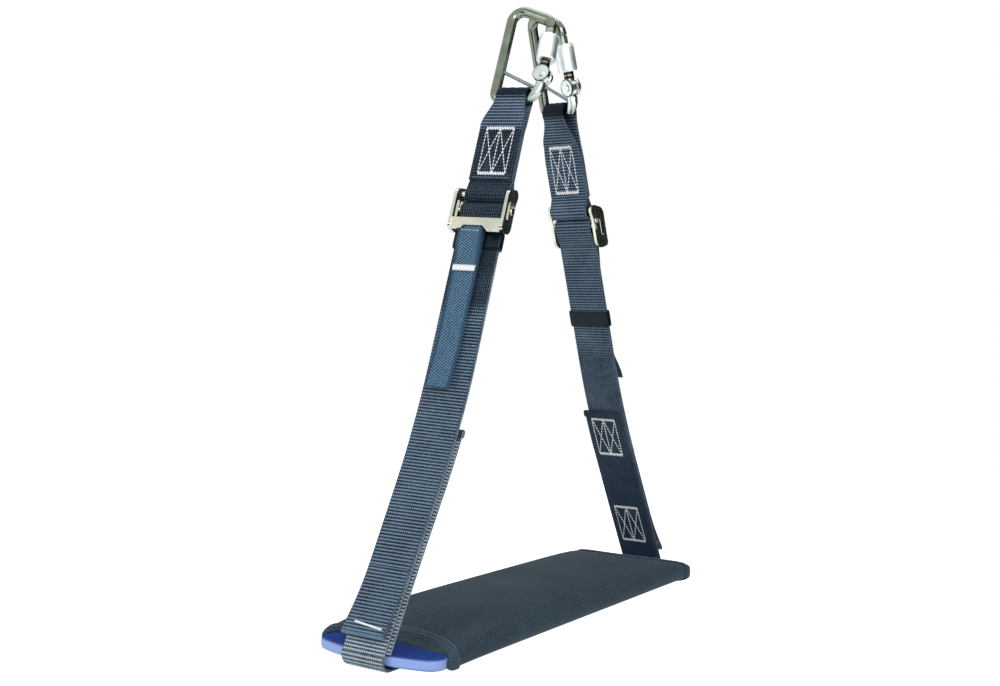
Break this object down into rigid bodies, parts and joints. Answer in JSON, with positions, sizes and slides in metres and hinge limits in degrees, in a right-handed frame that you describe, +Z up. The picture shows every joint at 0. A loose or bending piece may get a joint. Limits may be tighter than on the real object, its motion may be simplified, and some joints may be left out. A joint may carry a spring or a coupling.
{
  "type": "bosun's chair",
  "caption": "Hanging work seat: padded board slung on adjustable webbing legs with friction buckles, meeting at twist-lock carabiners.",
  "frame": {"origin": "hang point, midway between the inside crowns of the two carabiners", "axes": "+Z up, X along the seat with the rear leg at +X, carabiner gates towards -Y"},
  "size_m": [0.5084, 0.142, 0.5937],
  "materials": {
    "webbing": "woven",
    "tape": "herringbone",
    "cover_cloth": "ribbed cloth",
    "foam": "matte foam",
    "board_plastic": "satin",
    "zinc_steel": "zinc plated",
    "bright_steel": "bright",
    "spring_steel": "drawn wire",
    "keeper_plastic": "matte"
  },
  "bodies": {
    "seat": {"seat_board": "board_plastic", "foam_pad": "foam", "seat_cover": "cover_cloth", "under_seat_strap": "webbing"},
    "front_strap": {"front_upper_loop": "webbing", "front_buckle_frame": "zinc_steel", "front_main_strap": "webbing", "front_strap_tail": "webbing", "front_inner_doubler": "webbing", "front_pull_tape": "tape"},
    "front_slide_bar": {"front_slide_bar": "zinc_steel", "front_bar_wrap": "webbing"},
    "front_keeper": {"front_strap_keeper": "keeper_plastic"},
    "front_carabiner": {"front_carabiner_frame": "zinc_steel", "front_captive_pin": "bright_steel", "front_gate_rivet": "bright_steel"},
    "front_gate": {"front_gate": "zinc_steel", "front_gate_plunger": "spring_steel", "front_gate_spring": "spring_steel", "front_sleeve_spring": "spring_steel"},
    "front_sleeve": {"front_twist_sleeve": "bright_steel"},
    "rear_strap": {"rear_upper_loop": "webbing", "rear_buckle_frame": "zinc_steel", "rear_main_strap": "webbing", "rear_strap_tail": "webbing", "rear_inner_doubler": "webbing", "rear_pull_tape": "tape"},
    "rear_slide_bar": {"rear_slide_bar": "zinc_steel", "rear_bar_wrap": "webbing"},
    "rear_keeper": {"rear_strap_keeper": "keeper_plastic"},
    "rear_carabiner": {"rear_carabiner_frame": "zinc_steel", "rear_captive_pin": "bright_steel", "rear_gate_rivet": "bright_steel"},
    "rear_gate": {"rear_gate": "zinc_steel", "rear_gate_plunger": "spring_steel", "rear_gate_spring": "spring_steel", "rear_sleeve_spring": "spring_steel"},
    "rear_sleeve": {"rear_twist_sleeve": "bright_steel"}
  },
  "joints": [
    {"name": "front_leg_fold", "type": "hinge", "parent": "seat", "child": "front_strap", "pos_m": [-0.24368, 0, -0.56479], "axis": [0, -1, 0], "range_deg": [0, 100]},
    {"name": "front_carabiner_swing", "type": "hinge", "parent": "front_strap", "child": "front_carabiner", "pos_m": [-0.04189, 0, -0.08468], "axis": [0.1967, -0.9781, -0.0673], "range_deg": [0, 85]},
    {"name": "front_gate_hinge", "type": "hinge", "parent": "front_carabiner", "child": "front_gate", "pos_m": [-0.02825, -0.02837, -0.06345], "axis": [-0.9254, -0.2079, 0.3168], "range_deg": [0, 28], "stiffness_Nm_per_rad": 0.4, "springref_deg": -17.19},
    {"name": "front_sleeve_twist", "type": "hinge", "parent": "front_gate", "child": "front_sleeve", "pos_m": [-0.02825, -0.02837, -0.06345], "axis": [-0.3179, -0.029, -0.9477], "range_deg": [0, 90], "stiffness_Nm_per_rad": 0.03, "springref_deg": -34.38},
    {"name": "front_bar_slide", "type": "slide", "parent": "front_strap", "child": "front_slide_bar", "axis": [0.3239, 0, 0.9461], "range_m": [0, 0.002]},
    {"name": "front_keeper_slide", "type": "slide", "parent": "front_strap", "child": "front_keeper", "axis": [0.3239, 0, 0.9461], "range_m": [-0.03, 0]},
    {"name": "rear_leg_fold", "type": "hinge", "parent": "seat", "child": "rear_strap", "pos_m": [0.24368, 0, -0.56479], "axis": [0, 1, 0], "range_deg": [0, 100]},
    {"name": "rear_carabiner_swing", "type": "hinge", "parent": "rear_strap", "child": "rear_carabiner", "pos_m": [0.04189, 0, -0.08468], "axis": [0.308, 0.9455, 0.1055], "range_deg": [0, 85]},
    {"name": "rear_gate_hinge", "type": "hinge", "parent": "rear_carabiner", "child": "rear_gate", "pos_m": [0.02502, -0.02742, -0.06455], "axis": [-0.8945, 0.3256, -0.3063], "range_deg": [0, 28], "stiffness_Nm_per_rad": 0.4, "springref_deg": -17.19},
    {"name": "rear_sleeve_twist", "type": "hinge", "parent": "rear_gate", "child": "rear_sleeve", "pos_m": [0.02502, -0.02742, -0.06455], "axis": [-0.3146, 0.0281, 0.9488], "range_deg": [0, 90], "stiffness_Nm_per_rad": 0.03, "springref_deg": -34.38},
    {"name": "rear_bar_slide", "type": "slide", "parent": "rear_strap", "child": "rear_slide_bar", "axis": [-0.3239, 0, 0.9461], "range_m": [0, 0.002]},
    {"name": "rear_keeper_slide", "type": "slide", "parent": "rear_strap", "child": "rear_keeper", "axis": [-0.3239, 0, 0.9461], "range_m": [-0.012, 0.045]}
  ]
}
